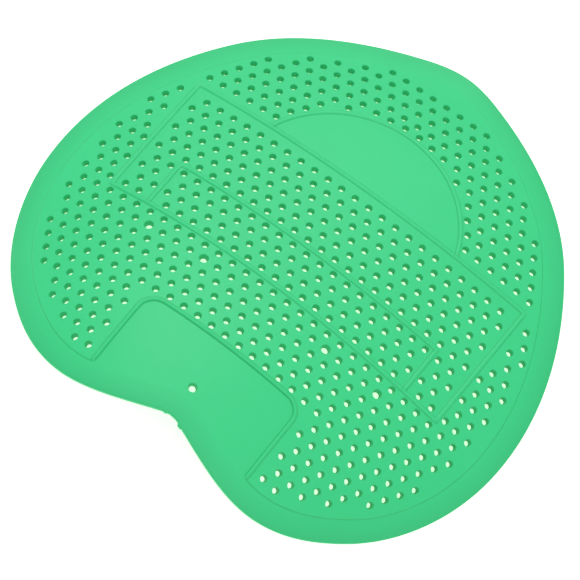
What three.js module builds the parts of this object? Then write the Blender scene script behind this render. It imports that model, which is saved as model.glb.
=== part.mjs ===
import * as THREE from 'three';
import { mergeVertices } from 'three/addons/utils/BufferGeometryUtils.js';

// Urinal deodorizer screen: one moulded sheet of soft vinyl with rows of small round holes.
// Millimetres, +Z up. The sheet is laid out flat, with u across it and v from its notched front
// to its pointed back, and is then bowed to the form that it lies in. v is 0 on the row of holes
// just inside the rectangle's back edge, and u is 0 on the line that the sheet is mirrored about.

// Sheet
const rimThickness = 1.9;       // plain rim and front pad
const fieldStep = 0.3;          // the perforated field stands this much above the rim
const ribHeight = 0.45;         // ribs stand this much above the field
const ribWidth = 1.6;
const rimWidth = 8.4;

// Holes
const holePitch = 5.6;
const rowPitch = holePitch * Math.sqrt(3) / 2;
const holeDiameter = 2.9;
const largeHoleDiameter = 3.8;
const padHoleDiameter = 3.7;
const padHolePlace = -94.3;     // v of the hole in the front pad
const holeWeb = 0.3;            // least sheet left between a hole and a rib or the rim's edge
const holeShift = 1.8;          // a hole that meets a rib may move this far to clear it
const holeSides = 3;            // small holes are three-sided prisms
const largeHoleSides = 7;
const cornerWeb = 0.1;          // least sheet left between a prism's corner and a rib or edge

// Plain front pad, open to the rim at the notch
const padHalfWidth = 30.9;
const padBack = -75.8;
const padCornerRadius = 5.6;

// Ribbed rectangle, with a smaller one inside it that shares its front rib
const rectangleHalfWidth = 67.4;
const rectangleBack = 4.3;
const rectangleFront = -46.9;
const innerHalfWidth = 52.6;
const innerBack = -27.5;

// Plain pad behind the rectangle, inside a rib that is a part of a circle
const discRadius = 39.9;
const discCentre = -7.7;

// Outline of the right half, from the pointed back round to the notch. The widths beside the
// rectangle are from its side, so that the perforated field still goes round it.
const pointPlace = 72.6;
const shoulderHalfWidth = 18.9;
const shoulderPlace = 66.7;
const flankClear = 2.6;
const flankPlace = 27.7;
const sideClear = 28.3;
const sidePlace = -44.3;
const lobeSideClear = 6.9;
const lobeSidePlace = -95.6;
const lobeHalfWidth = 34.7;
const lobePlace = -114.4;
const notchPlace = -105.5;

// Places on the outline and the way it heads there, in degrees
const outlineKnots = [
  { u: 0, v: pointPlace, heading: 0, steps: 4 },
  { u: shoulderHalfWidth, v: shoulderPlace, heading: -25, steps: 5 },
  { u: rectangleHalfWidth + flankClear, v: flankPlace, heading: -55, steps: 7 },
  { u: rectangleHalfWidth + sideClear, v: sidePlace, heading: -90, steps: 6 },
  { u: rectangleHalfWidth + lobeSideClear, v: lobeSidePlace, heading: -137, steps: 5 },
  { u: lobeHalfWidth, v: lobePlace, heading: -180, steps: 4 },
  { u: 0, v: notchPlace, heading: -200 },
];

// Torn edge at the notch: places across it and how far the sheet reaches past the clean edge there
const tearHalfWidth = 5.2;
const tearReach = 0.6;
const tornEdge = [
  { across: -0.6, reach: 0 },
  { across: -0.37, reach: 0.67 },
  { across: -0.1, reach: 0.42 },
  { across: 0.29, reach: 0.25 },
  { across: 0.6, reach: -0.33 },
  { across: 0.77, reach: 1 },
  { across: 1, reach: 0.58 },
];

// Bow of the sheet: rise and fall, in millimetres, at bowReach from the bow's middle
const bowReach = 84;
const bowMiddle = -22.4;        // v of the middle of the bow
const sideFall = 13.6;
const sideFallLessBehind = 9.2;
const cornerFall = 9.6;
const endFall = 5.1;
const backFall = 11.1;
const sideRise = 0.6;
const twistRise = 4.4;
const sideCurlRise = 0.9;
const bowSteps = 8;             // steps along a line when its length is kept

// Straight pieces that stand for curves
const longestEdge = 23;         // straight edges are divided so that they follow the bow
const padCornerParts = 3;
const discRibParts = 10;
const discGuideParts = 4;
const discGuideStart = 36;      // degrees up from the rectangle's back rib, at each end
const padGuideInset = 5.6;      // between the pad's hole or back edge and the loop inside the pad

// Rows of holes, from the back. Each gives its place in rows from v = 0 towards the front, and the
// stretches of it that hold holes, in pitches from the middle on each side.
const holeRows = [
  { row: -11, spans: [[0.5, 3.5]] },
  { row: -10, spans: [[0, 5]] },
  { row: -9, spans: [[0.5, 6.5]] },
  { row: -8, spans: [[0, 8]] },
  { row: -7, spans: [[0.5, 8.5]] },
  { row: -6, spans: [[4, 10]] },
  { row: -5, spans: [[5.5, 10.5]] },
  { row: -4, spans: [[6, 11]] },
  { row: -3, spans: [[6.5, 11.5]] },
  { row: -2, spans: [[7, 12]] },
  { row: 0, spans: [[0, 11], [13, 13]] },
  { row: 1, spans: [[0.5, 11.5], [13.5, 13.5]] },
  { row: 2, spans: [[0, 11], [13, 14]] },
  { row: 3, spans: [[0.5, 11.5], [13.5, 13.5]] },
  { row: 4, spans: [[0, 11], [13, 14]] },
  { row: 5, spans: [[0.5, 14.5]] },
  { row: 6, spans: [[0, 11], [13, 14]] },
  { row: 7, spans: [[0.5, 8.5], [10.5, 14.5]] },
  { row: 8, spans: [[0, 11], [13, 14]] },
  { row: 9, spans: [[0.5, 8.5], [10.5, 14.5]] },
  { row: 10, spans: [[0, 14]] },
  { row: 11, spans: [[0.5, 14.5]], large: [4.5, 8.5] },
  { row: 12, spans: [[0, 14]] },
  { row: 13, spans: [[0.5, 13.5]] },
  { row: 14, spans: [[0, 14]] },
  { row: 15, spans: [[0.5, 13.5]] },
  { row: 16, spans: [[7, 13]] },
  { row: 17, spans: [[6.5, 12.5]] },
  { row: 18, spans: [[7, 11]] },
  { row: 19, spans: [[6.5, 10.5]] },
  { row: 20, spans: [[7, 9]] },
  { row: 21, spans: [[6.5, 7.5]] },
];

// Plan points are { u, v } and are shared by the outlines that meet there
const point = (u, v) => ({ u, v });
const distance = (a, b) => Math.hypot(a.u - b.u, a.v - b.v);

// Straight run of points from a towards b, with b left off
function straight(a, b) {
  const parts = Math.max(1, Math.ceil(distance(a, b) / longestEdge));
  const run = [a];
  for (let k = 1; k < parts; k++) {
    const share = k / parts;
    run.push(point(a.u + (b.u - a.u) * share, a.v + (b.v - a.v) * share));
  }
  return run;
}

// Points of a closed outline through the given corners
const closedLoop = (corners) => corners.flatMap(
  (corner, k) => straight(corner, corners[(k + 1) % corners.length]));

// Points on a part of a circle, both ends included; angles are in radians
function arc(centreU, centreV, radius, from, to, parts) {
  const run = [];
  for (let k = 0; k <= parts; k++) {
    const angle = from + (to - from) * k / parts;
    run.push(point(centreU + radius * Math.cos(angle), centreV + radius * Math.sin(angle)));
  }
  return run;
}

const mirrored = (run) => run.map((p) => point(-p.u, p.v)).reverse();

// Right half of the outline, moved in by inset, from the point at the back to the notch
function outlineHalf(inset) {
  const run = [];
  const place = (curve, t) => {
    const at = curve.getPoint(t);
    const along = curve.getTangent(t);
    run.push(point(at.x + along.y * inset, at.y - along.x * inset));
  };
  outlineKnots.slice(0, -1).forEach((knot, k) => {
    const next = outlineKnots[k + 1];
    const start = new THREE.Vector2(knot.u, knot.v);
    const end = new THREE.Vector2(next.u, next.v);
    const turn = THREE.MathUtils.degToRad(knot.heading - next.heading);
    const handle = start.distanceTo(end) * (2 / 3) * Math.tan(turn / 4) / Math.sin(turn / 2);
    const ahead = (heading, length) => new THREE.Vector2(length, 0).rotateAround(
      new THREE.Vector2(), THREE.MathUtils.degToRad(heading));
    const curve = new THREE.CubicBezierCurve(
      start, start.clone().add(ahead(knot.heading, handle)),
      end.clone().sub(ahead(next.heading, handle)), end);
    for (let step = 0; step < knot.steps; step++) {
      place(curve, step / knot.steps);
    }
    if (next.steps === undefined) {
      place(curve, 1);
    }
  });
  return run;
}

// Outer outline, anticlockwise, with the torn edge in place of the clean notch
function makeOutline() {
  const right = outlineHalf(0);
  const notch = right.pop();
  const apex = right.shift();
  const rise = Math.tan(THREE.MathUtils.degToRad(outlineKnots.at(-1).heading + 180));
  const torn = tornEdge.map(({ across, reach }) => point(
    across * tearHalfWidth, notch.v + Math.abs(across) * tearHalfWidth * rise - reach * tearReach));
  return [apex, ...mirrored(right).reverse(), ...torn, ...right.reverse()];
}

// Edge of the field along the rim, anticlockwise, between two places beside the front pad
function makeFieldEdge(halfWidth) {
  const half = outlineHalf(rimWidth);
  const apex = half.shift();
  const lowest = half.reduce((low, p) => (p.v < low.v ? p : low));
  const side = half.slice(0, half.indexOf(lowest) + 1).filter((p) => p.v > padBack || p.u > halfWidth);
  return { lowest: lowest.v, run: [...[...side].reverse(), apex, ...mirrored(side).reverse()] };
}

// Edge of the front pad, from its left end up, across and down, moved out by outset
function padPath(outset, foot) {
  const half = padHalfWidth + outset;
  const back = padBack + outset;
  const radius = padCornerRadius + outset;
  const corner = arc(half - radius, back - radius, radius, Math.PI / 2, 0, padCornerParts);
  const right = [...corner, ...straight(corner.at(-1), point(half, foot)).slice(1), point(half, foot)];
  const left = mirrored(right);
  return [...left.slice(0, -1), ...straight(left.at(-1), right[0]), ...right];
}

const outline = makeOutline();
const fieldEdge = makeFieldEdge(padHalfWidth + ribWidth);
const padInside = padPath(0, fieldEdge.lowest);
const padOutside = padPath(ribWidth, fieldEdge.lowest);
const rimLoop = [...fieldEdge.run, padOutside[0], ...padInside, padOutside.at(-1)];
const fieldLoop = [...fieldEdge.run, ...padOutside];
const padRibLoop = [...padInside, ...[...padOutside].reverse()];

// Ribs of the rectangle and the disc form one network
const ribBack = rectangleBack + ribWidth;
const ribHalfWidth = rectangleHalfWidth + ribWidth;
const innerFront = rectangleFront + ribWidth;
const discFoot = (radius) => Math.asin((ribBack - discCentre) / radius);
const discRib = (radius) => arc(
  0, discCentre, radius, discFoot(radius), Math.PI - discFoot(radius), discRibParts);
const discOutside = discRib(discRadius + ribWidth);
const discInside = discRib(discRadius);

const backLeft = point(-ribHalfWidth, ribBack);
const backRight = point(ribHalfWidth, ribBack);
const networkLoop = [
  ...straight(backLeft, point(-ribHalfWidth, rectangleFront)),
  ...straight(point(-ribHalfWidth, rectangleFront), point(ribHalfWidth, rectangleFront)),
  ...straight(point(ribHalfWidth, rectangleFront), backRight),
  ...straight(backRight, discOutside[0]),
  ...discOutside.slice(0, -1),
  ...straight(discOutside.at(-1), backLeft),
];
const discLoop = [...discInside.slice(0, -1), ...straight(discInside.at(-1), discInside[0])];
const innerRib = innerHalfWidth + ribWidth;
const rectangleLoop = closedLoop([
  point(-rectangleHalfWidth, innerFront),
  point(-innerRib, innerFront),
  point(-innerRib, innerBack + ribWidth),
  point(innerRib, innerBack + ribWidth),
  point(innerRib, innerFront),
  point(rectangleHalfWidth, innerFront),
  point(rectangleHalfWidth, rectangleBack),
  point(-rectangleHalfWidth, rectangleBack),
]);
const innerLoop = closedLoop([
  point(-innerHalfWidth, innerFront),
  point(innerHalfWidth, innerFront),
  point(innerHalfWidth, innerBack),
  point(-innerHalfWidth, innerBack),
]);

// Plain pads get a loop inside them, level with the rest, so that their faces follow the bow
const padGuide = closedLoop([
  point(-padHalfWidth / 2, padHolePlace - padGuideInset),
  point(padHalfWidth / 2, padHolePlace - padGuideInset),
  point(padHalfWidth / 2, padBack - padGuideInset),
  point(-padHalfWidth / 2, padBack - padGuideInset),
]);
const guideAngle = THREE.MathUtils.degToRad(discGuideStart);
const discGuide = arc(
  0, discCentre, (discRadius + ribBack - discCentre) / 2, guideAngle, Math.PI - guideAngle, discGuideParts);

// Regions of the sheet, each with the height of its upper face above the underside
const fieldLevel = rimThickness + fieldStep;
const ribLevel = fieldLevel + ribHeight;
const regions = {
  rim: { outer: outline, inner: [rimLoop, padGuide], level: rimThickness },
  pad: { outer: padGuide, inner: [], level: rimThickness },
  padRib: { outer: padRibLoop, inner: [], level: ribLevel },
  field: { outer: fieldLoop, inner: [networkLoop], level: fieldLevel },
  network: { outer: networkLoop, inner: [discLoop, rectangleLoop, innerLoop], level: ribLevel },
  disc: { outer: discLoop, inner: [discGuide], level: fieldLevel },
  discMiddle: { outer: discGuide, inner: [], level: fieldLevel },
  rectangle: { outer: rectangleLoop, inner: [], level: fieldLevel },
  innerRectangle: { outer: innerLoop, inner: [], level: fieldLevel },
};

function isInside(p, loop) {
  let inside = false;
  loop.forEach((a, k) => {
    const b = loop[(k + 1) % loop.length];
    if ((a.v > p.v) !== (b.v > p.v) && p.u < a.u + (b.u - a.u) * (p.v - a.v) / (b.v - a.v)) {
      inside = !inside;
    }
  });
  return inside;
}

// Nearest place to p on a closed outline
function nearestOn(p, loop) {
  let best = null;
  loop.forEach((a, k) => {
    const b = loop[(k + 1) % loop.length];
    const along = ((p.u - a.u) * (b.u - a.u) + (p.v - a.v) * (b.v - a.v)) / distance(a, b) ** 2;
    const share = THREE.MathUtils.clamp(along, 0, 1);
    const near = point(a.u + (b.u - a.u) * share, a.v + (b.v - a.v) * share);
    if (!best || distance(p, near) < distance(p, best)) {
      best = near;
    }
  });
  return best;
}

// A hole's centre, moved off the ribs and the rim's edge where it would meet them, or null
function clearPlace(p, radius, loops) {
  const clear = radius + holeWeb;
  const moved = point(p.u, p.v);
  for (const loop of loops) {
    const near = nearestOn(moved, loop);
    const gap = distance(moved, near);
    if (gap < clear) {
      moved.u += (moved.u - near.u) / gap * (clear - gap);
      moved.v += (moved.v - near.v) / gap * (clear - gap);
    }
  }
  return distance(p, moved) < holeShift ? moved : null;
}

const regionOf = (p) => Object.values(regions).find(
  (region) => isInside(p, region.outer) && !region.inner.some((loop) => isInside(p, loop)));

// Hole outline: a prism with the area of the round hole, or less where a rib is in its corners'
// way, with a corner towards the back
function holeLoop(centre, diameter, sides, loops) {
  const area = Math.PI * diameter ** 2 / 4;
  const sameArea = Math.sqrt(2 * area / (sides * Math.sin(2 * Math.PI / sides)));
  const room = Math.min(...loops.map((loop) => distance(centre, nearestOn(centre, loop))));
  const radius = Math.min(sameArea, room - cornerWeb);
  return arc(centre.u, centre.v, radius, Math.PI / 2, Math.PI / 2 + 2 * Math.PI, sides).slice(0, -1);
}

function addHole(u, v, diameter, sides) {
  const region = regionOf(point(u, v));
  if (!region) {
    return;
  }
  const loops = [region.outer, ...region.inner];
  const centre = clearPlace(point(u, v), diameter / 2, loops);
  if (centre) {
    region.holes ??= [];
    region.holes.push(holeLoop(centre, diameter, sides, loops));
  }
}

for (const { row, spans, large = [] } of holeRows) {
  for (const [first, last] of spans) {
    for (let site = first; site <= last; site++) {
      const isLarge = large.includes(site);
      const diameter = isLarge ? largeHoleDiameter : holeDiameter;
      const sides = isLarge ? largeHoleSides : holeSides;
      const places = site === 0 ? [0] : [site, -site];
      for (const place of places) {
        addHole(place * holePitch, -row * rowPitch, diameter, sides);
      }
    }
  }
}
addHole(0, padHolePlace, padHoleDiameter, largeHoleSides);

// Height of the underside from the bow's middle
function bowAt(u, v) {
  const side = u / bowReach;
  const back = (v - bowMiddle) / bowReach;
  return -sideFall * side ** 2 + sideFallLessBehind * side ** 2 * back
    - cornerFall * side ** 2 * back ** 2 - endFall * back ** 4 - backFall * back
    + sideRise * side + twistRise * side * back + sideCurlRise * side ** 3;
}

const slopeStep = 0.01;         // millimetres, for taking slopes
const weldReach = 1e-4;         // millimetres
const turnLeast = 1e-6;         // radians past even at which a shared edge is turned
const slopeAcross = (u, v) => (bowAt(u + slopeStep, v) - bowAt(u - slopeStep, v)) / (2 * slopeStep);
const slopeAlong = (u, v) => (bowAt(u, v + slopeStep) - bowAt(u, v - slopeStep)) / (2 * slopeStep);

// How much a line on the sheet draws in when it is bowed: half the mean square of its slope
function drawIn(slopeAt) {
  let sum = 0;
  for (let k = 0; k < bowSteps; k++) {
    sum += slopeAt((k + 0.5) / bowSteps) ** 2;
  }
  return 1 - sum / bowSteps / 2;
}

// Place in space of a flat point at a level above the underside
function bent(p, level) {
  const fromMiddle = p.v - bowMiddle;
  const across = slopeAcross(p.u, p.v);
  const along = slopeAlong(p.u, p.v);
  const place = new THREE.Vector3(
    p.u * drawIn((share) => slopeAcross(p.u * share, p.v)),
    bowMiddle + fromMiddle * drawIn((share) => slopeAlong(p.u, bowMiddle + fromMiddle * share)),
    bowAt(p.u, p.v));
  const normal = new THREE.Vector3(-across, -along, 1).normalize();
  return place.addScaledVector(normal, level);
}

// Triangles, as numbers of places, with shared edges turned until they are as even as can be, so
// that none of them reaches far across the bow. Each starts anticlockwise.
function evened(triangles, places) {
  const tips = new Map();
  const edgeKey = (a, b) => a * places.length + b;
  const add = (a, b, c) => {
    tips.set(edgeKey(a, b), c);
    tips.set(edgeKey(b, c), a);
    tips.set(edgeKey(c, a), b);
  };
  const angleAt = (tip, a, b) => {
    const toA = places[a].clone().sub(places[tip]);
    const toB = places[b].clone().sub(places[tip]);
    return Math.atan2(toA.cross(toB), toA.dot(toB));
  };
  triangles.forEach((corners) => add(...corners));
  const waiting = [...tips.keys()];
  while (waiting.length) {
    const edge = waiting.pop();
    const a = Math.floor(edge / places.length);
    const b = edge % places.length;
    const c = tips.get(edgeKey(a, b));
    const d = tips.get(edgeKey(b, a));
    if (c === undefined || d === undefined || angleAt(c, a, b) + angleAt(d, b, a) < Math.PI + turnLeast) {
      continue;
    }
    tips.delete(edgeKey(a, b));
    tips.delete(edgeKey(b, a));
    add(a, d, c);
    add(d, b, c);
    waiting.push(edgeKey(a, d), edgeKey(d, b), edgeKey(b, c), edgeKey(c, a));
  }
  return [...tips].map(([edge, c]) => [Math.floor(edge / places.length), edge % places.length, c])
    .filter(([a, b, c]) => a < b && a < c);
}

// The sheet as one closed mesh: each region's upper face and underside, and the walls between levels
function makeSheet() {
  const corners = [];
  const levelsAt = new Map();
  const edges = new Map();
  const numbers = new Map();
  const numberOf = (p) => {
    const key = `${p.u.toFixed(4)},${p.v.toFixed(4)}`;
    if (!numbers.has(key)) {
      numbers.set(key, numbers.size);
      levelsAt.set(numbers.get(key), new Set([0]));
    }
    return numbers.get(key);
  };
  const face = (...places) => places.forEach(([p, level]) => corners.push(...bent(p, level).toArray()));
  const turned = (loop, wanted) => {
    const vectors = loop.map((p) => new THREE.Vector2(p.u, p.v));
    return THREE.ShapeUtils.area(vectors) > 0 === wanted ? loop : [...loop].reverse();
  };

  for (const { outer, inner, holes = [], level } of Object.values(regions)) {
    const loops = [turned(outer, true), ...[...inner, ...holes].map((loop) => turned(loop, false))];
    for (const loop of loops) {
      loop.forEach((a, k) => {
        const b = loop[(k + 1) % loop.length];
        levelsAt.get(numberOf(a)).add(level);
        edges.set(`${numberOf(a)}>${numberOf(b)}`, { a, b, level });
      });
    }
    const flat = loops.map((loop) => loop.map((p) => {
      const place = bent(p, 0);
      return new THREE.Vector2(place.x, place.y);
    }));
    const points = loops.flat();
    const places = flat.flat();
    const triangles = THREE.ShapeUtils.triangulateShape(flat[0], flat.slice(1)).map(
      (triangle) => (THREE.ShapeUtils.area(triangle.map((k) => places[k])) > 0
        ? triangle : [...triangle].reverse()));
    for (const triangle of evened(triangles, places)) {
      const [a, b, c] = triangle.map((k) => points[k]);
      face([a, level], [b, level], [c, level]);
      face([a, 0], [c, 0], [b, 0]);
    }
  }

  for (const [key, { a, b, level }] of edges) {
    const [from, to] = key.split('>');
    const low = edges.get(`${to}>${from}`)?.level ?? 0;
    if (level <= low) {
      continue;
    }
    const rungs = (number) => [...levelsAt.get(Number(number))]
      .filter((at) => at >= low && at <= level).sort((one, other) => one - other);
    const left = rungs(from);
    const right = rungs(to);
    let i = 0;
    let j = 0;
    while (i < left.length - 1 || j < right.length - 1) {
      const climbLeft = j === right.length - 1 || (i < left.length - 1 && left[i + 1] < right[j + 1]);
      if (climbLeft) {
        face([a, left[i]], [b, right[j]], [a, left[i + 1]]);
        i++;
      } else {
        face([a, left[i]], [b, right[j]], [b, right[j + 1]]);
        j++;
      }
    }
  }
  const loose = new THREE.BufferGeometry();
  loose.setAttribute('position', new THREE.Float32BufferAttribute(corners, 3));
  const closed = mergeVertices(loose, weldReach);
  closed.computeVertexNormals();
  return closed;
}

// The origin is under the middle of the sheet's box, on the surface that it lies on
const sheet = makeSheet();
sheet.computeBoundingBox();
const middle = sheet.boundingBox.getCenter(new THREE.Vector3());
sheet.translate(-middle.x, -middle.y, -sheet.boundingBox.min.z);

const vinyl = new THREE.MeshStandardMaterial({ color: 0x4fdc93, roughness: 0.45, metalness: 0 });
const screen = new THREE.Mesh(sheet, vinyl);
screen.name = 'urinal_screen';

const part = new THREE.Group();
part.add(screen);

export default part;
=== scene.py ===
import math

import bpy
import numpy as np
from mathutils import Matrix, Vector, kdtree
from mathutils.geometry import delaunay_2d_cdt


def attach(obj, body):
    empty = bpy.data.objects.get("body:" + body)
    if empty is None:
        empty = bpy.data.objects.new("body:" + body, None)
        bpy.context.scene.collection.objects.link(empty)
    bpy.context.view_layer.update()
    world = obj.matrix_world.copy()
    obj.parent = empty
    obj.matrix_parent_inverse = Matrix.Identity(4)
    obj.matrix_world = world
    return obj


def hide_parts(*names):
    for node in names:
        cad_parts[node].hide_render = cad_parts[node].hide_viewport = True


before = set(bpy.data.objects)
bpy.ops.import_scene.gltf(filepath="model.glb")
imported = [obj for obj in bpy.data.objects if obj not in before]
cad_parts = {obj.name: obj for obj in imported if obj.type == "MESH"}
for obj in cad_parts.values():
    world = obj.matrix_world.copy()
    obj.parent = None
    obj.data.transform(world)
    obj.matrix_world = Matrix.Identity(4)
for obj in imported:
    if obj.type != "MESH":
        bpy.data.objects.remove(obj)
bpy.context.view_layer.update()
print("frame loaded")

# The sheet is laid out flat in millimetres, u across and v from the notch to the pointed back,
# then bowed. v is 0 on the row of holes just inside the rectangle's back edge.
sheet = {
    "rimThickness": 1.9,
    "fieldStep": 0.3,
    "stepSoftness": 0.35,
    "rimWidth": 8.4,
    "topEdgeRadius": 0.5,
    "lowerEdgeRadius": 0.3,
    "padHalfWidth": 30.9,
    "padBack": -75.8,
    "padCornerRadius": 5.6,
    "rectangleHalfWidth": 67.4,
    "rectangleBack": 4.3,
    "rectangleFront": -46.9,
    "innerHalfWidth": 52.6,
    "innerBack": -27.5,
    "discRadius": 39.9,
    "discCentre": -7.7,
    "lineStep": 2.8,        # longest straight edge
    "plainStep": 4.0,       # between the points that shape the plain parts
    "plainClear": 1.5,      # from those points to a line
    "padHoleClear": 3.5,    # from those points to the pad's hole
    "plainAcross": (-80, 80),
    "plainAlong": (-112, 60),
    "rimGuides": (3.0, 5.6),    # insets of lines that shape the rim
    "topEdgeMiddle": 0.15,  # inset of the line part-way round the top edge
    "padCornerStep": 1.2,
    "outlineFineness": 6,   # points for each step of the outline's knots
}
rib = {
    "height": 0.45,
    "width": 1.6,
    "stations": (-1.25, -1, -0.8, -0.45, 0, 0.45, 0.8, 1, 1.25),   # lines across, in half widths
    "fullness": 0.75,       # 0.5 is a half round, 1 a parabola
}
# Knots on the right half of the outline: u, v, heading in degrees, steps
outlineKnots = (
    (0, 72.6, 0, 4),
    (18.9, 66.7, -25, 5),
    (70, 27.7, -55, 7),
    (95.7, -44.3, -90, 6),
    (74.3, -95.6, -137, 5),
    (34.7, -114.4, -180, 4),
    (0, -105.5, -200, 0),
)
# The ragged edge at the notch: u and reach past the clean edge
tear = {
    "step": 0.45,           # between points along the tear
    "clear": 0.4,           # from the tear's ends to the smooth outline
    "nicks": 0.09,
    "fineNicks": 0.04,
}
tornEdge = ((-3.12, 0), (-1.92, 0.4), (-0.52, 0.25), (1.51, 0.15), (3.12, -0.2), (4, 0.6), (5.2, 0.35))

holes = {
    "pitch": 5.6,
    "diameter": 2.9,
    "largeDiameter": 3.8,
    "padDiameter": 3.7,
    "padPlace": -94.3,
    "web": 0.3,
    "shift": 1.8,
    "mouthRounding": 0.24,
    "lowerShare": 0.74,     # the moulding's draft: width at the underside over width at the mouth
    "sides": 24,
}
# Row towards the front, then the stretches that hold holes, in pitches from the middle
holeRows = (
    (-11, (0.5, 3.5)), (-10, (0, 5)), (-9, (0.5, 6.5)), (-8, (0, 8)), (-7, (0.5, 8.5)),
    (-6, (4, 10)), (-5, (5.5, 10.5)), (-4, (6, 11)), (-3, (6.5, 11.5)), (-2, (7, 12)),
    (0, (0, 11), (13, 13)), (1, (0.5, 11.5), (13.5, 13.5)), (2, (0, 11), (13, 14)),
    (3, (0.5, 11.5), (13.5, 13.5)), (4, (0, 11), (13, 14)), (5, (0.5, 14.5)),
    (6, (0, 11), (13, 14)), (7, (0.5, 8.5), (10.5, 14.5)), (8, (0, 11), (13, 14)),
    (9, (0.5, 8.5), (10.5, 14.5)), (10, (0, 14)), (11, (0.5, 14.5)), (12, (0, 14)),
    (13, (0.5, 13.5)), (14, (0, 14)), (15, (0.5, 13.5)), (16, (7, 13)), (17, (6.5, 12.5)),
    (18, (7, 11)), (19, (6.5, 10.5)), (20, (7, 9)), (21, (6.5, 7.5)),
)
largeHoles = {(11, 4.5), (11, 8.5)}

bow = {
    "reach": 84,
    "middle": -22.4,
    "sideFall": 13.6,
    "sideFallLessBehind": 9.2,
    "cornerFall": 9.6,
    "endFall": 5.1,
    "backFall": 11.1,
    "sideRise": 0.6,
    "twistRise": 4.4,
    "sideCurlRise": 0.9,
    "steps": 8,
}


def bowAt(u, v):
    side = u / bow["reach"]
    back = (v - bow["middle"]) / bow["reach"]
    return (-bow["sideFall"] * side**2 + bow["sideFallLessBehind"] * side**2 * back
            - bow["cornerFall"] * side**2 * back**2 - bow["endFall"] * back**4
            - bow["backFall"] * back + bow["sideRise"] * side + bow["twistRise"] * side * back
            + bow["sideCurlRise"] * side**3)


def slopeAcross(u, v):
    return (bowAt(u + 0.01, v) - bowAt(u - 0.01, v)) / 0.02


def slopeAlong(u, v):
    return (bowAt(u, v + 0.01) - bowAt(u, v - 0.01)) / 0.02


def bentPlaces(flat):
    # Flat u, v and level to a place in space, with the lengths along the sheet kept
    u, v, level = flat.T
    fromMiddle = v - bow["middle"]
    shares = (np.arange(bow["steps"]) + 0.5) / bow["steps"]
    inAcross = 1 - sum(slopeAcross(u * share, v)**2 for share in shares) / bow["steps"] / 2
    slopes = sum(slopeAlong(u, bow["middle"] + fromMiddle * share)**2 for share in shares)
    inAlong = 1 - slopes / bow["steps"] / 2
    normal = np.stack([-slopeAcross(u, v), -slopeAlong(u, v), np.ones_like(u)], axis=1)
    normal /= np.linalg.norm(normal, axis=1)[:, None]
    place = np.stack([u * inAcross, bow["middle"] + fromMiddle * inAlong, bowAt(u, v)], axis=1)
    return place + normal * level[:, None]


# Lines of the layout, as arrays of u and v
def straightLine(start, end, step):
    start, end = np.array(start, float), np.array(end, float)
    parts = max(1, math.ceil(np.linalg.norm(end - start) / step))
    return start + (end - start) * np.linspace(0, 1, parts + 1)[:, None]


def throughCorners(corners, step):
    runs = [straightLine(a, b, step)[:-1] for a, b in zip(corners[:-1], corners[1:])]
    return np.vstack(runs + [[corners[-1]]])


def arcLine(centre, radius, start, end, step):
    parts = max(2, math.ceil(abs(end - start) * radius / step))
    angle = np.linspace(start, end, parts + 1)
    return np.stack([centre[0] + radius * np.cos(angle), centre[1] + radius * np.sin(angle)], axis=1)


def outlineHalf(inset):
    run = []
    for knot, nextKnot in zip(outlineKnots[:-1], outlineKnots[1:]):
        u, v, heading, steps = knot
        nextU, nextV, nextHeading, nextSteps = nextKnot
        start, end = np.array((u, v), float), np.array((nextU, nextV), float)
        turn = math.radians(heading - nextHeading)
        handle = np.linalg.norm(end - start) * (2 / 3) * math.tan(turn / 4) / math.sin(turn / 2)
        ahead = np.array((math.cos(math.radians(heading)), math.sin(math.radians(heading))))
        nextAhead = np.array((math.cos(math.radians(nextHeading)), math.sin(math.radians(nextHeading))))
        first, second = start + ahead * handle, end - nextAhead * handle
        count = steps * sheet["outlineFineness"]
        t = np.linspace(0, 1, count + 1)[:, None]
        if nextSteps:
            t = t[:-1]
        place = (1 - t)**3 * start + 3 * (1 - t)**2 * t * first + 3 * (1 - t) * t**2 * second + t**3 * end
        along = (1 - t)**2 * (first - start) + 2 * (1 - t) * t * (second - first) + t**2 * (end - second)
        along /= np.linalg.norm(along, axis=1)[:, None]
        run.append(place + inset * np.stack([along[:, 1], -along[:, 0]], axis=1))
    return np.vstack(run)


def mirrored(run):
    return (run * (-1, 1))[::-1]


def movedIn(loop, inset):
    # A closed anticlockwise loop moved inwards by its own normals
    along = np.roll(loop, -1, 0) - np.roll(loop, 1, 0)
    along /= np.linalg.norm(along, axis=1)[:, None]
    return loop + inset * np.stack([-along[:, 1], along[:, 0]], axis=1)


def tornLine(notchV):
    # The tear's own corners, with small nicks between them
    rise = math.tan(math.radians(outlineKnots[-1][2] + 180))
    corners = [(u, notchV + abs(u) * rise - reach) for u, reach in tornEdge]
    run = throughCorners(corners, tear["step"])
    nicks = tear["nicks"] * np.sin(run[:, 0] * 9.7 + 1.3) * np.sin(run[:, 0] * 4.1)
    nicks += tear["fineNicks"] * np.sin(run[:, 0] * 23)
    nicks[[0, -1]] = 0
    return run + np.stack([np.zeros_like(nicks), nicks], axis=1)


def outlineLoop():
    right = outlineHalf(0)
    torn = tornLine(right[-1, 1])
    left = mirrored(right)[::-1]
    left = left[(left[:, 0] < torn[0, 0] - tear["clear"]) | (left[:, 1] > 0)]
    right = right[(right[:, 0] > torn[-1, 0] + tear["clear"]) | (right[:, 1] > 0)]
    return np.vstack([left, torn, right[::-1][:-1]])


def padLine(outset, foot):
    half = sheet["padHalfWidth"] + outset
    back = sheet["padBack"] + outset
    radius = sheet["padCornerRadius"] + outset
    corner = arcLine((half - radius, back - radius), radius, math.pi / 2, 0,
                     sheet["padCornerStep"])
    right = np.vstack([corner, straightLine(corner[-1], (half, foot), sheet["lineStep"])[1:]])
    left = mirrored(right)
    return np.vstack([left[:-1], straightLine(left[-1], right[0], sheet["lineStep"])[:-1], right])


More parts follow.
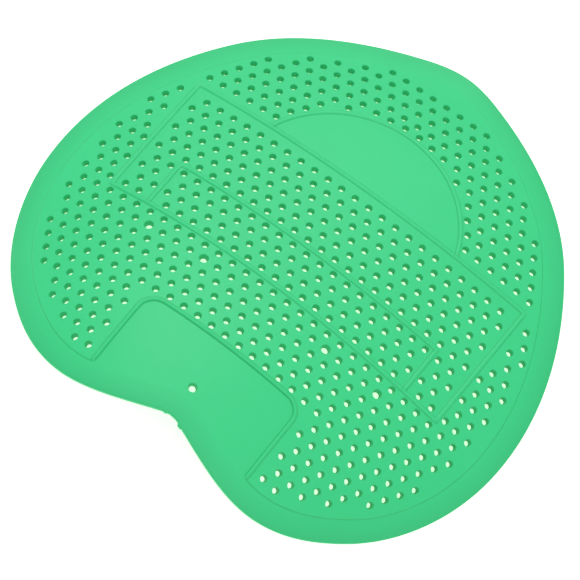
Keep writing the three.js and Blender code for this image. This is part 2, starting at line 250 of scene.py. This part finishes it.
edgeHalf = outlineHalf(sheet["rimWidth"])
lowest = int(np.argmin(edgeHalf[:, 1]))
foot = edgeHalf[lowest, 1]
side = edgeHalf[:lowest + 1]
side = side[(side[:, 1] > sheet["padBack"]) | (side[:, 0] > sheet["padHalfWidth"] + rib["width"])]
fieldRun = np.vstack([side[::-1], mirrored(side)[::-1][1:]])
fieldLoop = np.vstack([fieldRun, padLine(rib["width"], foot)])

ribBack = sheet["rectangleBack"] + rib["width"]
ribHalf = sheet["rectangleHalfWidth"] + rib["width"]
innerFront = sheet["rectangleFront"] + rib["width"]
innerRib = sheet["innerHalfWidth"] + rib["width"]


def discLine(outset, level):
    radius = sheet["discRadius"] + outset
    start = math.asin((level - sheet["discCentre"]) / radius)
    return arcLine((0, sheet["discCentre"]), radius, start, math.pi - start, sheet["lineStep"])


def closedThrough(corners):
    return throughCorners(list(corners) + [corners[0]], sheet["lineStep"])[:-1]


networkLoop = np.vstack([
    throughCorners([(-ribHalf, ribBack), (-ribHalf, sheet["rectangleFront"]),
                    (ribHalf, sheet["rectangleFront"]), (ribHalf, ribBack)], sheet["lineStep"]),
    discLine(rib["width"], ribBack),
])
rectangleLoop = closedThrough([
    (-sheet["rectangleHalfWidth"], innerFront), (-innerRib, innerFront),
    (-innerRib, sheet["innerBack"] + rib["width"]), (innerRib, sheet["innerBack"] + rib["width"]),
    (innerRib, innerFront), (sheet["rectangleHalfWidth"], innerFront),
    (sheet["rectangleHalfWidth"], sheet["rectangleBack"]),
    (-sheet["rectangleHalfWidth"], sheet["rectangleBack"]),
])
innerLoop = closedThrough([
    (-sheet["innerHalfWidth"], innerFront), (sheet["innerHalfWidth"], innerFront),
    (sheet["innerHalfWidth"], sheet["innerBack"]), (-sheet["innerHalfWidth"], sheet["innerBack"]),
])


def isInside(p, loop):
    a, b = loop, np.roll(loop, -1, 0)
    crosses = (a[:, 1] > p[1]) != (b[:, 1] > p[1])
    rise = np.where(crosses, b[:, 1] - a[:, 1], 1)
    at = a[:, 0] + (b[:, 0] - a[:, 0]) * (p[1] - a[:, 1]) / rise
    return bool(np.count_nonzero(crosses & (p[0] < at)) % 2)


def distanceTo(points, line, closed=True):
    # Distance from each point to a line, and the nearest place on it
    a = line if closed else line[:-1]
    b = np.roll(line, -1, 0) if closed else line[1:]
    best = np.full(len(points), np.inf)
    near = np.zeros_like(points)
    for start, end in zip(a, b):
        run = end - start
        share = np.clip(((points - start) @ run) / max(run @ run, 1e-12), 0, 1)
        place = start + share[:, None] * run
        gap = np.linalg.norm(points - place, axis=1)
        closer = gap < best
        best[closer] = gap[closer]
        near[closer] = place[closer]
    return best, near


# Hole centres: on an even grid, moved off the ribs and the rim where they would meet them
def clearPlace(place, radius, loops):
    moved = place.copy()
    for loop in loops:
        gap, near = distanceTo(moved[None], loop)
        if gap[0] < radius + holes["web"]:
            moved += (moved - near[0]) / gap[0] * (radius + holes["web"] - gap[0])
    return moved if np.linalg.norm(moved - place) < holes["shift"] else None


def holePlaces():
    found = [(0, holes["padPlace"], holes["padDiameter"] / 2, sheet["rimThickness"])]
    rowPitch = holes["pitch"] * math.sqrt(3) / 2
    depth = sheet["rimThickness"] + sheet["fieldStep"]
    for row, *spans in holeRows:
        for first, last in spans:
            for site in np.arange(first, last + 0.1):
                large = (row, site) in largeHoles
                radius = holes["largeDiameter" if large else "diameter"] / 2
                for across in {site, -site}:
                    place = np.array((across * holes["pitch"], -row * rowPitch))
                    if isInside(place, innerLoop):
                        loops = [innerLoop]
                    elif isInside(place, rectangleLoop):
                        loops = [rectangleLoop]
                    elif isInside(place, fieldLoop) and not isInside(place, networkLoop):
                        loops = [fieldLoop, networkLoop]
                    else:
                        continue
                    moved = clearPlace(place, radius, loops)
                    if moved is not None:
                        found.append((moved[0], moved[1], radius, depth))
    return sorted(found)


holeList = np.array(holePlaces())
print("holes placed", len(holeList))

# Middle lines of the ribs
half = rib["width"] / 2
rectangleRib = [(-ribHalf + half, ribBack - half), (-ribHalf + half, innerFront - half),
                (ribHalf - half, innerFront - half), (ribHalf - half, ribBack - half),
                (-ribHalf + half, ribBack - half)]
innerRibLine = [(-innerRib + half, innerFront - half), (-innerRib + half, sheet["innerBack"] + half),
                (innerRib - half, sheet["innerBack"] + half), (innerRib - half, innerFront - half)]
padRib = padLine(half, foot + half)
ribMiddles = [
    throughCorners(rectangleRib, sheet["lineStep"]),
    throughCorners(innerRibLine, sheet["lineStep"]),
    discLine(half, ribBack - half),
]


def ribProfile(distance):
    return np.clip(1 - (distance / half)**2, 0, None)**rib["fullness"]


def upperLevel(points):
    # Height of the upper face over the underside
    inside = np.array([isInside(p, fieldLoop) for p in points])
    gap, _ = distanceTo(points, fieldLoop)
    fade = np.clip(1 - gap / sheet["stepSoftness"], 0, 1)
    step = np.where(inside, 1, fade * fade * (3 - 2 * fade))
    padGap, _ = distanceTo(points, padRib, closed=False)
    padBead = ribProfile(padGap)
    beads = [ribProfile(distanceTo(points, line, closed=False)[0]) for line in ribMiddles]
    highest = np.max(beads + [padBead], axis=0)
    return sheet["rimThickness"] + sheet["fieldStep"] * np.maximum(step, padBead) + rib["height"] * highest


def beside(line, outset, closed):
    # A line moved sideways, with its corners kept square
    before = line - np.roll(line, 1, 0)
    after = np.roll(line, -1, 0) - line
    if not closed:
        before[0], after[-1] = after[0], before[-1]
    before /= np.linalg.norm(before, axis=1)[:, None]
    after /= np.linalg.norm(after, axis=1)[:, None]
    mean = before + after
    mean /= np.linalg.norm(mean, axis=1)[:, None]
    reach = outset / np.clip((mean * before).sum(1), 0.5, 1)
    return line + reach[:, None] * np.stack([-mean[:, 1], mean[:, 0]], axis=1)


def ring(centre, radius):
    angle = 2 * math.pi * np.arange(holes["sides"]) / holes["sides"]
    return centre + radius * np.stack([np.cos(angle), np.sin(angle)], axis=1)


def plainPoints(loops, avoid):
    # Evenly spread points that let the plain parts follow the bow
    step = sheet["plainStep"]
    grid = np.array([(u, v) for u in np.arange(*sheet["plainAcross"], step)
                     for v in np.arange(*sheet["plainAlong"], step)])
    kept = [p for p in grid if any(isInside(p, loop) for loop in loops)]
    kept = np.array(kept)
    lineGap = np.min([distanceTo(kept, line, closed=False)[0] for line in avoid], axis=0)
    holeGap = np.linalg.norm(kept - (0, holes["padPlace"]), axis=1)
    return kept[(lineGap > sheet["plainClear"]) & (holeGap > sheet["padHoleClear"])]


def flatFace(loops, lines, loose, ringRadius):
    # Triangles between the lines, with the holes left open
    points, edges = [], []

    def add(run, closed):
        first = len(points)
        points.extend(Vector(p) for p in run)
        last = len(points) - 1
        edges.extend((k, k + 1) for k in range(first, last))
        if closed:
            edges.append((last, first))

    for loop in loops:
        add(loop, True)
    for line in lines:
        add(line, False)
    for u, v, radius, depth in holeList:
        add(ring((u, v), ringRadius(radius)), True)
    points.extend(Vector(p) for p in loose)
    places, _, faces, *_ = delaunay_2d_cdt(points, edges, [], 1, 1e-5)
    places = np.array([tuple(p) for p in places])
    tree = kdtree.KDTree(len(holeList))
    for k, (u, v, _, _) in enumerate(holeList):
        tree.insert((u, v, 0), k)
    tree.balance()
    faces = np.array([tuple(f) for f in faces])
    middles = places[faces].mean(axis=1)
    kept = []
    for face, middle in zip(faces, middles):
        _, k, gap = tree.find((middle[0], middle[1], 0))
        if gap > ringRadius(holeList[k, 2]) * math.cos(math.pi / holes["sides"]):
            kept.append(face)
    nearest = np.array([tree.find((p[0], p[1], 0))[1] for p in places])
    onRing = np.linalg.norm(places - holeList[nearest, :2], axis=1) < ringRadius(holeList[nearest, 2]) + 2e-3
    return places, np.array(kept), onRing, holeList[nearest, 3]


creaseReach = 0.2   # how far the painted shade in a crease spreads on each side
outer = outlineLoop()
topRadius, lowRadius = sheet["topEdgeRadius"], sheet["lowerEdgeRadius"]
edgeInsets = (sheet["topEdgeMiddle"], topRadius)
ringScale = holes["mouthRounding"] / (holes["diameter"] / 2)


def mouthRadius(radius):
    return radius


def undersideRadius(radius):
    return radius * (1 - ringScale) * holes["lowerShare"]


def closedFromHalf(inset):
    right = outlineHalf(inset)
    return np.vstack([mirrored(right)[::-1], right[::-1][1:-1]])


stepFoot = sheet["rimWidth"] - sheet["stepSoftness"]
stepMiddle = sheet["rimWidth"] - sheet["stepSoftness"] / 2
guideInsets = sheet["rimGuides"] + (stepFoot - creaseReach, stepFoot, stepMiddle)
guideLoops = [closedFromHalf(inset) for inset in guideInsets]
ribLines = []
for middle in ribMiddles + [padRib]:
    for station in rib["stations"]:
        closedLine = np.allclose(middle[0], middle[-1])
        run = middle[:-1] if closedLine else middle
        moved = beside(run, station * half, closedLine)
        ribLines.append(np.vstack([moved, moved[:1]]) if closedLine else moved)
padLoop = padLine(0, foot)
discLoop = discLine(0, ribBack)
besidePlain = [outer, padLoop, discLoop] + guideLoops + [np.vstack([discLoop, discLoop[:1]])]
plain = plainPoints([padLoop, discLoop], besidePlain)

topPlaces, topFaces, topRing, topDepth = flatFace(
    [outer] + [movedIn(outer, inset) for inset in edgeInsets] + guideLoops + [fieldLoop],
    ribLines, plain, mouthRadius)
edgeGap, _ = distanceTo(topPlaces, outer)
edgeGap[edgeGap < 1e-3] = 0   # on the outline itself, so that it meets the outer wall exactly
rounded = np.clip(edgeGap, 0, topRadius)
topLevel = upperLevel(topPlaces) - topRadius + np.sqrt(topRadius**2 - (topRadius - rounded)**2)
topLevel[topRing] = topDepth[topRing]
print("upper face", len(topFaces))

lowPlaces, lowFaces, _, _ = flatFace(
    [movedIn(outer, lowRadius)] + guideLoops[:2], [], plain, undersideRadius)
print("underside", len(lowFaces))


# The flat plate without its hole walls: upper face, underside and outer wall
def plateMesh():
    lowEdge = movedIn(outer, lowRadius)
    wallLevels = ((outer, sheet["rimThickness"] - topRadius), (outer, lowRadius), (lowEdge, 0.0))
    parts = [np.column_stack([topPlaces, topLevel]),
             np.column_stack([lowPlaces, np.zeros(len(lowPlaces))])]
    faces = [tuple(f) for f in topFaces]
    faces += [tuple(len(topPlaces) + k for k in f[::-1]) for f in lowFaces]
    start = len(topPlaces) + len(lowPlaces)
    count = len(outer)
    for loop, level in wallLevels:
        parts.append(np.column_stack([loop, np.full(count, level)]))
    for band in range(len(wallLevels) - 1):
        upper, lower = start + band * count, start + (band + 1) * count
        for k in range(count):
            after = (k + 1) % count
            faces.append((upper + k, lower + k, lower + after, upper + after))
    mesh = bpy.data.meshes.new("plate")
    mesh.from_pydata((np.vstack(parts) / 1000).tolist(), [], faces)
    return mesh


# Hole walls: one sleeve with a rounded mouth, set at every hole's centre
def makeHoleTree():
    tree = bpy.data.node_groups.new("drainHoles", "GeometryNodeTree")
    sockets = {}
    for name, kind in (("Plate", "NodeSocketGeometry"), ("Centres", "NodeSocketObject"),
                       ("Hole radius", "NodeSocketFloat"), ("Mouth rounding", "NodeSocketFloat"),
                       ("Sheet depth", "NodeSocketFloat"), ("Lower share", "NodeSocketFloat"),
                       ("Sides", "NodeSocketInt"), ("Material", "NodeSocketMaterial")):
        sockets[name] = tree.interface.new_socket(name, in_out="INPUT", socket_type=kind).identifier
    tree.interface.new_socket("Geometry", in_out="OUTPUT", socket_type="NodeSocketGeometry")
    entry = tree.nodes.new("NodeGroupInput")
    leave = tree.nodes.new("NodeGroupOutput")

    def node(kind, **values):
        made = tree.nodes.new(kind)
        for name, value in values.items():
            setattr(made, name, value)
        return made

    def feed(target, source):
        if isinstance(source, (int, float)):
            target.default_value = source
        else:
            tree.links.new(source, target)

    def calc(operation, first, second=0.0, clamp=False):
        made = node("ShaderNodeMath", operation=operation, use_clamp=clamp)
        feed(made.inputs[0], first)
        feed(made.inputs[1], second)
        return made.outputs[0]

    tube = node("GeometryNodeMeshCylinder", fill_type="NONE")
    feed(tube.inputs["Vertices"], entry.outputs["Sides"])
    tube.inputs["Side Segments"].default_value = 3
    tube.inputs["Radius"].default_value = 1
    tube.inputs["Depth"].default_value = 1
    place = node("GeometryNodeInputPosition")
    split = node("ShaderNodeSeparateXYZ")
    feed(split.inputs[0], place.outputs[0])
    climb = calc("ADD", split.outputs[2], 0.5)
    turn = calc("MULTIPLY", calc("MULTIPLY", calc("SUBTRACT", climb, 1 / 3), 1.5, clamp=True), math.pi / 2)
    flare = calc("MULTIPLY", entry.outputs["Mouth rounding"], calc("SUBTRACT", 1.0, calc("COSINE", turn)))
    wall = calc("MULTIPLY", climb, 3.0, clamp=True)
    draft = calc("ADD", entry.outputs["Lower share"],
                 calc("MULTIPLY", wall, calc("SUBTRACT", 1.0, entry.outputs["Lower share"])))
    radius = calc("ADD", calc("MULTIPLY", entry.outputs["Hole radius"], draft), flare)
    drop = calc("MULTIPLY", entry.outputs["Mouth rounding"], calc("SUBTRACT", 1.0, calc("SINE", turn)))
    level = calc("MULTIPLY", calc("SUBTRACT", entry.outputs["Sheet depth"], drop), wall)
    joined = node("ShaderNodeCombineXYZ")
    feed(joined.inputs[0], calc("MULTIPLY", split.outputs[0], radius))
    feed(joined.inputs[1], calc("MULTIPLY", split.outputs[1], radius))
    feed(joined.inputs[2], level)
    shape = node("GeometryNodeSetPosition")
    feed(shape.inputs["Geometry"], tube.outputs["Mesh"])
    feed(shape.inputs["Position"], joined.outputs[0])
    inward = node("GeometryNodeFlipFaces")
    feed(inward.inputs["Mesh"], shape.outputs["Geometry"])
    centres = node("GeometryNodeObjectInfo")
    feed(centres.inputs["Object"], entry.outputs["Centres"])
    size = node("GeometryNodeInputNamedAttribute", data_type="FLOAT_VECTOR")
    size.inputs["Name"].default_value = "holeScale"
    sleeves = node("GeometryNodeInstanceOnPoints")
    feed(sleeves.inputs["Points"], centres.outputs["Geometry"])
    feed(sleeves.inputs["Instance"], inward.outputs["Mesh"])
    feed(sleeves.inputs["Scale"], size.outputs["Attribute"])
    together = node("GeometryNodeJoinGeometry")
    tree.links.new(sleeves.outputs["Instances"], together.inputs[0])
    tree.links.new(entry.outputs["Plate"], together.inputs[0])
    realized = node("GeometryNodeRealizeInstances")
    feed(realized.inputs["Geometry"], together.outputs[0])
    welded = node("GeometryNodeMergeByDistance")
    feed(welded.inputs["Geometry"], realized.outputs["Geometry"])
    welded.inputs["Distance"].default_value = 2e-6
    painted = node("GeometryNodeSetMaterial")
    feed(painted.inputs["Geometry"], welded.outputs["Geometry"])
    feed(painted.inputs["Material"], entry.outputs["Material"])
    feed(leave.inputs[0], painted.outputs["Geometry"])
    return tree, sockets


def centresMesh():
    mesh = bpy.data.meshes.new("holeCentres")
    mesh.from_pydata([(u / 1000, v / 1000, 0) for u, v, _, _ in holeList], [], [])
    scale = mesh.attributes.new("holeScale", "FLOAT_VECTOR", "POINT")
    fieldDepth = sheet["rimThickness"] + sheet["fieldStep"]
    for k, (_, _, radius, depth) in enumerate(holeList):
        wide = radius / (holes["diameter"] / 2)
        scale.data[k].vector = (wide, wide, depth / fieldDepth)
    return mesh


vinylSettings = {
    "green": (0.033, 0.59, 0.222, 1),
    "deepGreen": (0.027, 0.55, 0.200, 1),
    "rimShadeGreen": (0.85, 0.87, 0.85, 1),       # painted shade: how much the rim's outer edge darkens
    "creaseShadeGreen": (0.58, 0.77, 0.63, 1),     # painted shade: how much a crease darkens
    "holeShadeGreen": (0.7, 0.82, 0.72, 1),       # painted shade: how much a hole's lower end darkens
    "roughness": 0.5,
    "smoother": 0.06,        # spread of the roughness, below and above
    "rougher": 0.08,
    "cloudSize": 28,
    "cloudDetail": 3,
    "grainSize": 900,
    "grainDetail": 4,
    "grainDepth": 0.00004,
    "grainStrength": 0.6,
    "glowThrough": 0.12,     # share of the light that spreads inside the vinyl
    "glowRadius": (0.3, 1.0, 0.5),
    "glowScale": 0.001,
    "ior": 1.42,
}


def makeVinyl():
    material = bpy.data.materials.new("greenVinyl")
    material.use_nodes = True
    nodes, links = material.node_tree.nodes, material.node_tree.links
    shader = nodes["Principled BSDF"]
    where = nodes.new("ShaderNodeTexCoord")
    clouds = nodes.new("ShaderNodeTexNoise")
    clouds.inputs["Scale"].default_value = vinylSettings["cloudSize"]
    clouds.inputs["Detail"].default_value = vinylSettings["cloudDetail"]
    links.new(where.outputs["Object"], clouds.inputs["Vector"])
    tint = nodes.new("ShaderNodeMix")
    tint.data_type = "RGBA"
    tint.inputs["A"].default_value = vinylSettings["deepGreen"]
    tint.inputs["B"].default_value = vinylSettings["green"]
    links.new(clouds.outputs["Fac"], tint.inputs["Factor"])
    colour = tint.outputs["Result"]
    # Painted shade: the colour is darkened towards the rim's outer edge, in the creases and down the hole
    # walls
    for attribute, darker in (("paintedRimShade", "rimShadeGreen"), ("paintedCreaseShade", "creaseShadeGreen"),
                              ("paintedHoleShade", "holeShadeGreen")):
        shade = nodes.new("ShaderNodeAttribute")
        shade.attribute_name = attribute
        mixed = nodes.new("ShaderNodeMix")
        mixed.data_type = "RGBA"
        mixed.blend_type = "MULTIPLY"
        mixed.inputs["B"].default_value = vinylSettings[darker]
        links.new(shade.outputs["Fac"], mixed.inputs["Factor"])
        links.new(colour, mixed.inputs["A"])
        colour = mixed.outputs["Result"]
    links.new(colour, shader.inputs["Base Color"])
    grain = nodes.new("ShaderNodeTexNoise")
    grain.inputs["Scale"].default_value = vinylSettings["grainSize"]
    grain.inputs["Detail"].default_value = vinylSettings["grainDetail"]
    links.new(where.outputs["Object"], grain.inputs["Vector"])
    rough = nodes.new("ShaderNodeMapRange")
    rough.inputs["To Min"].default_value = vinylSettings["roughness"] - vinylSettings["smoother"]
    rough.inputs["To Max"].default_value = vinylSettings["roughness"] + vinylSettings["rougher"]
    links.new(grain.outputs["Fac"], rough.inputs["Value"])
    links.new(rough.outputs["Result"], shader.inputs["Roughness"])
    bump = nodes.new("ShaderNodeBump")
    bump.inputs["Distance"].default_value = vinylSettings["grainDepth"]
    bump.inputs["Strength"].default_value = vinylSettings["grainStrength"]
    links.new(grain.outputs["Fac"], bump.inputs["Height"])
    links.new(bump.outputs["Normal"], shader.inputs["Normal"])
    shader.inputs["Subsurface Weight"].default_value = vinylSettings["glowThrough"]
    shader.inputs["Subsurface Radius"].default_value = vinylSettings["glowRadius"]
    shader.inputs["Subsurface Scale"].default_value = vinylSettings["glowScale"]
    shader.inputs["IOR"].default_value = vinylSettings["ior"]
    return material


vinyl = makeVinyl()
plate = bpy.data.objects.new("flatPlate", plateMesh())
centres = bpy.data.objects.new("holeCentres", centresMesh())
bpy.context.scene.collection.objects.link(plate)
bpy.context.scene.collection.objects.link(centres)
holeTree, holeSockets = makeHoleTree()
modifier = plate.modifiers.new("drainHoles", "NODES")
modifier.node_group = holeTree
wallRadius = holes["diameter"] / 2000 - holes["mouthRounding"] / 1000
for name, value in (("Centres", centres), ("Hole radius", wallRadius),
                    ("Mouth rounding", holes["mouthRounding"] / 1000),
                    ("Sheet depth", (sheet["rimThickness"] + sheet["fieldStep"]) / 1000),
                    ("Lower share", holes["lowerShare"]), ("Sides", holes["sides"]), ("Material", vinyl)):
    modifier[holeSockets[name]] = value
flatMesh = bpy.data.meshes.new_from_object(plate.evaluated_get(bpy.context.evaluated_depsgraph_get()))
bpy.data.objects.remove(plate)
bpy.data.objects.remove(centres)
print("holes cut", len(flatMesh.polygons))

# The flat sheet takes its bow, and stands over the origin as the solid does
flat = np.empty(len(flatMesh.vertices) * 3)
flatMesh.vertices.foreach_get("co", flat)
flat = flat.reshape(-1, 3) * 1000


def addShade(name, domain, values):
    shade = flatMesh.attributes.new(name, "FLOAT", domain)
    shade.data.foreach_set("value", values.astype(np.float32))


# Painted shade on the vinyl: darker towards the outer edge, in the creases, and down the hole walls alone
rimGap, _ = distanceTo(flat[:, :2], outer)
addShade("paintedRimShade", "POINT", np.clip(1 - rimGap / sheet["rimWidth"], 0, 1))
# Painted shade at the foot of the step and along both sides of each rib
stepGap, _ = distanceTo(flat[:, :2], fieldLoop)
outside = np.array([not isInside(p, fieldLoop) for p in flat[:, :2]])
creaseShade = np.clip(1 - np.abs(stepGap - sheet["stepSoftness"]) / creaseReach, 0, 1) * outside
for line in ribMiddles + [padRib]:
    ribGap, _ = distanceTo(flat[:, :2], line, closed=False)
    creaseShade = np.maximum(creaseShade, np.clip(1 - np.abs(ribGap - half) / creaseReach, 0, 1))
addShade("paintedCreaseShade", "POINT", creaseShade * (flat[:, 2] > sheet["rimThickness"] / 2))
centreTree = kdtree.KDTree(len(holeList))
for k, (u, v, _, _) in enumerate(holeList):
    centreTree.insert((u, v, 0), k)
centreTree.balance()
# Painted shade: each hole wall darkens towards the underside
holeShadeAmount = []
for face in flatMesh.polygons:
    corners = flat[list(face.vertices)]
    faceMiddle = corners.mean(axis=0)
    _, k, gap = centreTree.find((faceMiddle[0], faceMiddle[1], 0))
    onWall = gap < holeList[k, 2] * math.cos(math.pi / holes["sides"])
    holeShadeAmount.extend(np.clip(1 - corners[:, 2] / holeList[k, 3], 0, 1) * onWall)
addShade("paintedHoleShade", "CORNER", np.array(holeShadeAmount))
bentSheet = bentPlaces(flat)
middle = (bentSheet.min(axis=0) + bentSheet.max(axis=0)) / 2
shift = np.array((middle[0], middle[1], bentSheet[:, 2].min()))
flatMesh.vertices.foreach_set("co", ((bentSheet - shift) / 1000).ravel())
flatMesh.update()
flatMesh.polygons.foreach_set("use_smooth", [True] * len(flatMesh.polygons))
flatMesh.set_sharp_from_angle(angle=math.radians(60))
screen = bpy.data.objects.new("vinylScreen", flatMesh)
bpy.context.scene.collection.objects.link(screen)
evenShade = screen.modifiers.new("evenShade", "WEIGHTED_NORMAL")
evenShade.keep_sharp = True
finished = bpy.data.meshes.new_from_object(screen.evaluated_get(bpy.context.evaluated_depsgraph_get()))
screen.modifiers.clear()
screen.data = finished
bpy.data.meshes.remove(flatMesh)
print("sheet bowed", len(finished.polygons))

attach(screen, "root")
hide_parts("urinal_screen")

# Floor, with a glow of its own so that it is bright through the holes
floorLook = {
    "halfWidth": 3,
    "colour": (0.92, 0.92, 0.92, 1),
    "roughness": 0.9,
    "glow": (1, 0.91, 0.84, 1),
    "glowStrength": 0.68,
}
floorMesh = bpy.data.meshes.new("floor")
floorCorners = [(x * floorLook["halfWidth"], y * floorLook["halfWidth"], 0)
                for x, y in ((-1, -1), (1, -1), (1, 1), (-1, 1))]
floorMesh.from_pydata(floorCorners, [], [(0, 1, 2, 3)])
floor = bpy.data.objects.new("floor", floorMesh)
bpy.context.scene.collection.objects.link(floor)
white = bpy.data.materials.new("floorWhite")
white.use_nodes = True
whiteShader = white.node_tree.nodes["Principled BSDF"]
whiteShader.inputs["Base Color"].default_value = floorLook["colour"]
whiteShader.inputs["Roughness"].default_value = floorLook["roughness"]
whiteShader.inputs["Emission Color"].default_value = floorLook["glow"]
whiteShader.inputs["Emission Strength"].default_value = floorLook["glowStrength"]
floor.data.materials.append(white)

# Camera, at the place that the fit of the hole centres gives
photo = {
    "place": (233.56, -701.56, 1508.43),    # from the bow's own middle, in mm
    "right": (0.79921, 0.58589, 0.13412),
    "down": (0.58482, -0.70651, -0.39854),
    "forward": (-0.13874, 0.39694, -0.9073),
    "focalPixels": 5000,
    "width": 580,
}
camera = bpy.data.objects.new("camera", bpy.data.cameras.new("camera"))
bpy.context.scene.collection.objects.link(camera)
camera.data.sensor_width = 36
camera.data.lens = 36 * photo["focalPixels"] / photo["width"]
camera.data.clip_start = 0.1
camera.data.clip_end = 20
where = (np.array(photo["place"]) - shift) / 1000
turned = np.eye(4)
turned[:3, 0] = photo["right"]
turned[:3, 1] = -np.array(photo["down"])
turned[:3, 2] = -np.array(photo["forward"])
turned[:3, 3] = where
camera.matrix_world = Matrix(turned.tolist())
bpy.context.scene.camera = camera

# Light
surroundings = 0.68
lights = {
    "key": {"from": (-0.6, 0.85, 1.5), "size": 0.7, "watts": 12},
    "fill": {"from": (0.5, -0.6, 1.7), "size": 1.4, "watts": 8},
}
for name, light in lights.items():
    lamp = bpy.data.lights.new(name, "AREA")
    lamp.shape = "SQUARE"
    lamp.size = light["size"]
    lamp.energy = light["watts"]
    holder = bpy.data.objects.new(name, lamp)
    bpy.context.scene.collection.objects.link(holder)
    holder.location = light["from"]
    holder.rotation_euler = (-Vector(light["from"])).to_track_quat("-Z", "Y").to_euler()
world = bpy.data.worlds.new("studio")
world.use_nodes = True
world.node_tree.nodes["Background"].inputs["Color"].default_value = (1, 1, 1, 1)
world.node_tree.nodes["Background"].inputs["Strength"].default_value = surroundings
bpy.context.scene.world = world
bpy.context.scene.view_settings.view_transform = "Standard"
